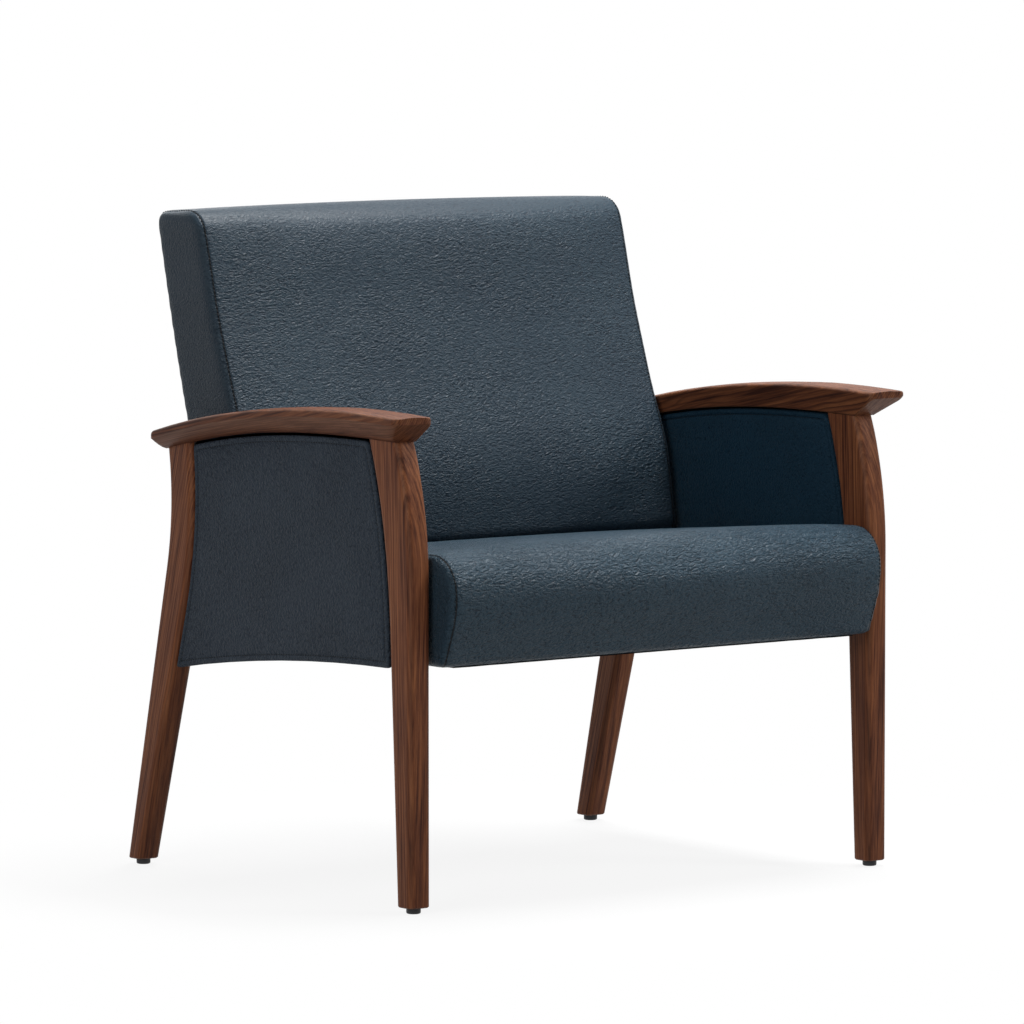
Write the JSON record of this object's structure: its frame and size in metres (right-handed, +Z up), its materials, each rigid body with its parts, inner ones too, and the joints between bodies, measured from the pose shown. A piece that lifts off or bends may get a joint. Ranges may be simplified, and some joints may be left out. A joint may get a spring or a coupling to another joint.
{
  "type": "bariatric chair",
  "caption": "Extra-wide upholstered armchair with shaped timber side frames, bowed flared arms, padded side panels, raked back and levelling glides.",
  "frame": {"origin": "on the floor, at the middle of the chair's width and depth", "axes": "+Z up; the sitter faces -Y; +X is the chair's right-hand side as seen from the front"},
  "size_m": [0.858, 0.692, 0.8917],
  "materials": {
    "walnut_finish": "satin walnut stain",
    "vinyl_seat": "satin embossed vinyl",
    "vinyl_side": "matte fine-grained vinyl",
    "vinyl_inner": "satin fine-grained vinyl",
    "frame_hardwood": "raw",
    "plywood": "raw",
    "foam": "open cell",
    "webbing": "woven",
    "dust_cloth": "non-woven",
    "black_steel": "satin powder coat",
    "zinc_steel": "zinc plated",
    "black_nylon": "matte"
  },
  "bodies": {
    "chair": {"front_leg_left": "walnut_finish", "front_leg_right": "walnut_finish", "rear_leg_left": "walnut_finish", "rear_leg_right": "walnut_finish", "arm_left": "walnut_finish", "arm_right": "walnut_finish", "arm_dowels": "frame_hardwood", "side_rail_left": "frame_hardwood", "side_rail_right": "frame_hardwood", "rail_dowels": "frame_hardwood", "panel_board_left": "plywood", "panel_board_right": "plywood", "panel_outer_left": "vinyl_side", "panel_outer_right": "vinyl_side", "panel_inner_left": "vinyl_inner", "panel_inner_right": "vinyl_inner", "seat_bearer_left": "black_steel", "seat_bearer_right": "black_steel", "bearer_screws": "zinc_steel", "seat_screws": "zinc_steel", "seat_front_rail": "frame_hardwood", "seat_rear_rail": "frame_hardwood", "seat_side_rail_left": "frame_hardwood", "seat_side_rail_right": "frame_hardwood", "seat_brace_front": "black_steel", "seat_brace_rear": "black_steel", "seat_corner_blocks": "frame_hardwood", "seat_deck": "plywood", "seat_foam": "foam", "seat_cover": "vinyl_seat", "seat_dust_cover": "dust_cloth", "back_stile_left": "frame_hardwood", "back_stile_right": "frame_hardwood", "back_top_rail": "frame_hardwood", "back_middle_rail": "frame_hardwood", "back_bottom_rail": "frame_hardwood", "back_webbing": "webbing", "back_foam": "foam", "back_cover": "vinyl_seat", "outer_back_panel": "vinyl_seat", "back_spacers": "zinc_steel", "back_bolts": "zinc_steel", "back_inserts": "zinc_steel", "glide_inserts": "zinc_steel"},
    "base_front_left": {"glide_base_front_left": "black_nylon"},
    "stem_front_left": {"glide_stem_front_left": "zinc_steel"},
    "base_front_right": {"glide_base_front_right": "black_nylon"},
    "stem_front_right": {"glide_stem_front_right": "zinc_steel"},
    "base_rear_left": {"glide_base_rear_left": "black_nylon"},
    "stem_rear_left": {"glide_stem_rear_left": "zinc_steel"},
    "base_rear_right": {"glide_base_rear_right": "black_nylon"},
    "stem_rear_right": {"glide_stem_rear_right": "zinc_steel"}
  },
  "joints": [
    {"name": "lift_front_left", "type": "slide", "parent": "chair", "child": "base_front_left", "axis": [0, 0, -1], "range_m": [0, 0.01]},
    {"name": "screw_front_left", "type": "hinge", "parent": "base_front_left", "child": "stem_front_left", "pos_m": [-0.385, -0.28325, 0], "axis": [0, 0, -1], "range_deg": [0, 2880.1]},
    {"name": "lift_front_right", "type": "slide", "parent": "chair", "child": "base_front_right", "axis": [0, 0, -1], "range_m": [0, 0.01]},
    {"name": "screw_front_right", "type": "hinge", "parent": "base_front_right", "child": "stem_front_right", "pos_m": [0.385, -0.28325, 0], "axis": [0, 0, -1], "range_deg": [0, 2880.1]},
    {"name": "lift_rear_left", "type": "slide", "parent": "chair", "child": "base_rear_left", "axis": [0, 0, -1], "range_m": [0, 0.01]},
    {"name": "screw_rear_left", "type": "hinge", "parent": "base_rear_left", "child": "stem_rear_left", "pos_m": [-0.385, 0.33039, 0], "axis": [0, 0, -1], "range_deg": [0, 2880.1]},
    {"name": "lift_rear_right", "type": "slide", "parent": "chair", "child": "base_rear_right", "axis": [0, 0, -1], "range_m": [0, 0.01]},
    {"name": "screw_rear_right", "type": "hinge", "parent": "base_rear_right", "child": "stem_rear_right", "pos_m": [0.385, 0.33039, 0], "axis": [0, 0, -1], "range_deg": [0, 2880.1]}
  ],
  "couplings": [
    {"joint": "screw_front_left", "follows": "lift_front_left", "rad_per_m": 5026.6},
    {"joint": "screw_front_right", "follows": "lift_front_right", "rad_per_m": 5026.6},
    {"joint": "screw_rear_left", "follows": "lift_rear_left", "rad_per_m": 5026.6},
    {"joint": "screw_rear_right", "follows": "lift_rear_right", "rad_per_m": 5026.6}
  ]
}
